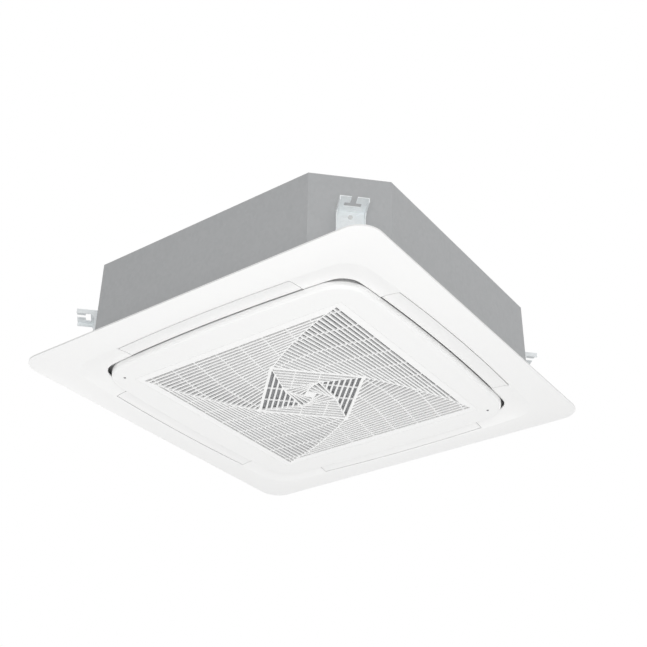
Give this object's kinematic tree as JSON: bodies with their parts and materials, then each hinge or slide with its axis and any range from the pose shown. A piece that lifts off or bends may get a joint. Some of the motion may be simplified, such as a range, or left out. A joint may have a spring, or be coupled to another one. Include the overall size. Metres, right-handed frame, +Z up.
{
  "type": "ceiling cassette air conditioner",
  "caption": "Ceiling cassette air conditioner: square panel with an air louver on each side, swirl-slatted intake grille, steel casing with hanger brackets, turbo fan, ring coil, drain pump.",
  "frame": {"origin": "centre of the ceiling opening on the lower face of the ceiling, which is the back face of the panel rim", "axes": "+Z up through the casing; -Y towards the front of the panel, opposite the grille hinge; +X to the right seen from below with the front at the top"},
  "size_m": [0.95, 0.95, 0.2505],
  "materials": {
    "panel_white": "fine satin",
    "grille_white": "fine satin",
    "grey_foam_seal": "matte",
    "zinc_steel": "satin",
    "dark_screw": "satin",
    "grey_nylon": "matte",
    "filter_plastic": "matte",
    "filter_net": "fine net",
    "casing_steel": "satin",
    "galvanised_steel": "spangled",
    "white_foam": "beaded foam",
    "black_rubber": "matte",
    "grey_plastic": "matte",
    "fan_plastic": "matte",
    "motor_steel": "satin",
    "motor_core": "matte",
    "shaft_steel": "ground",
    "coil_aluminium": "satin",
    "copper": "bright copper",
    "brass": "satin",
    "pump_plastic": "satin",
    "float_plastic": "matte",
    "clear_hose": "satin",
    "board_green": "satin",
    "terminal_plastic": "matte",
    "stepper_steel": "satin"
  },
  "bodies": {
    "unit": {"bell_mouth": "grey_plastic", "bell_mouth_screws": "zinc_steel", "cable_grommet": "black_rubber", "casing_shell": "casing_steel", "coil_end_plates": "galvanised_steel", "coil_fins": "coil_aluminium", "coil_return_bends": "copper", "control_board": "board_green", "control_box": "galvanised_steel", "control_box_lid": "galvanised_steel", "drain_hose": "clear_hose", "drain_pan": "white_foam", "drain_plug": "black_rubber", "drain_port": "grey_plastic", "drain_pump": "pump_plastic", "float_switch_stem": "pump_plastic", "foam_liner": "white_foam", "gas_flare_nut": "brass", "gas_header": "copper", "hanger_bolts": "zinc_steel", "hanger_bracket_front_left": "galvanised_steel", "hanger_bracket_front_right": "galvanised_steel", "hanger_bracket_rear_left": "galvanised_steel", "hanger_bracket_rear_right": "galvanised_steel", "liquid_distributor": "copper", "liquid_flare_nut": "brass", "louver_motor_front": "stepper_steel", "louver_motor_left": "stepper_steel", "louver_motor_rear": "stepper_steel", "louver_motor_right": "stepper_steel", "motor_bearings": "shaft_steel", "motor_bolts": "zinc_steel", "motor_bracket": "galvanised_steel", "motor_bushes": "black_rubber", "motor_housing": "motor_steel", "motor_stator": "motor_core", "panel_frame": "panel_white", "panel_screws": "zinc_steel", "panel_seals": "grey_foam_seal", "pipe_cover_plate": "galvanised_steel", "pump_bracket": "galvanised_steel", "terminal_block": "terminal_plastic", "top_plate": "casing_steel", "top_plate_screws": "zinc_steel"},
    "front_louver": {"louver_front": "panel_white"},
    "right_louver": {"louver_right": "panel_white"},
    "rear_louver": {"louver_rear": "panel_white"},
    "left_louver": {"louver_left": "panel_white"},
    "hinge_hooks": {"grille_hinge_hooks": "grey_nylon"},
    "grille": {"grille_frame": "panel_white", "intake_grille": "grille_white", "grille_lock_screws": "dark_screw"},
    "filter": {"filter_frame": "filter_plastic", "filter_mesh": "filter_net"},
    "left_latch": {"grille_latch_left": "panel_white"},
    "right_latch": {"grille_latch_right": "panel_white"},
    "fan": {"turbo_fan": "fan_plastic", "fan_nut": "zinc_steel", "motor_rotor": "shaft_steel"},
    "float": {"float": "float_plastic"}
  },
  "joints": [
    {"name": "front_louver_hinge", "type": "hinge", "parent": "unit", "child": "front_louver", "pos_m": [0, -0.372, 0.01], "axis": [1, 0, 0], "range_deg": [0, 60]},
    {"name": "right_louver_hinge", "type": "hinge", "parent": "unit", "child": "right_louver", "pos_m": [0.372, 0, 0.01], "axis": [0, 1, 0], "range_deg": [0, 60]},
    {"name": "rear_louver_hinge", "type": "hinge", "parent": "unit", "child": "rear_louver", "pos_m": [0, 0.372, 0.01], "axis": [-1, 0, 0], "range_deg": [0, 60]},
    {"name": "left_louver_hinge", "type": "hinge", "parent": "unit", "child": "left_louver", "pos_m": [-0.372, 0, 0.01], "axis": [0, -1, 0], "range_deg": [0, 60]},
    {"name": "grille_drop", "type": "slide", "parent": "unit", "child": "hinge_hooks", "axis": [0, 0, -1], "range_m": [0, 0.02]},
    {"name": "grille_swing", "type": "hinge", "parent": "hinge_hooks", "child": "grille", "pos_m": [0, 0.3435, -0.007], "axis": [1, 0, 0], "range_deg": [0, 90]},
    {"name": "filter_lift", "type": "slide", "parent": "grille", "child": "filter", "axis": [0, 0, 1], "range_m": [0, 0.018]},
    {"name": "left_latch_slide", "type": "slide", "parent": "grille", "child": "left_latch", "axis": [0, -1, 0], "range_m": [0, 0.006]},
    {"name": "right_latch_slide", "type": "slide", "parent": "grille", "child": "right_latch", "axis": [0, -1, 0], "range_m": [0, 0.006]},
    {"name": "fan_spin", "type": "hinge", "parent": "unit", "child": "fan", "pos_m": [0, 0, 0.15], "axis": [0, 0, 1], "continuous": true},
    {"name": "float_rise", "type": "slide", "parent": "unit", "child": "float", "axis": [0, 0, 1], "range_m": [0, 0.008]}
  ],
  "couplings": [
    {"joint": "grille_drop", "follows": "grille_swing", "m_per_rad": 0.012731}
  ]
}
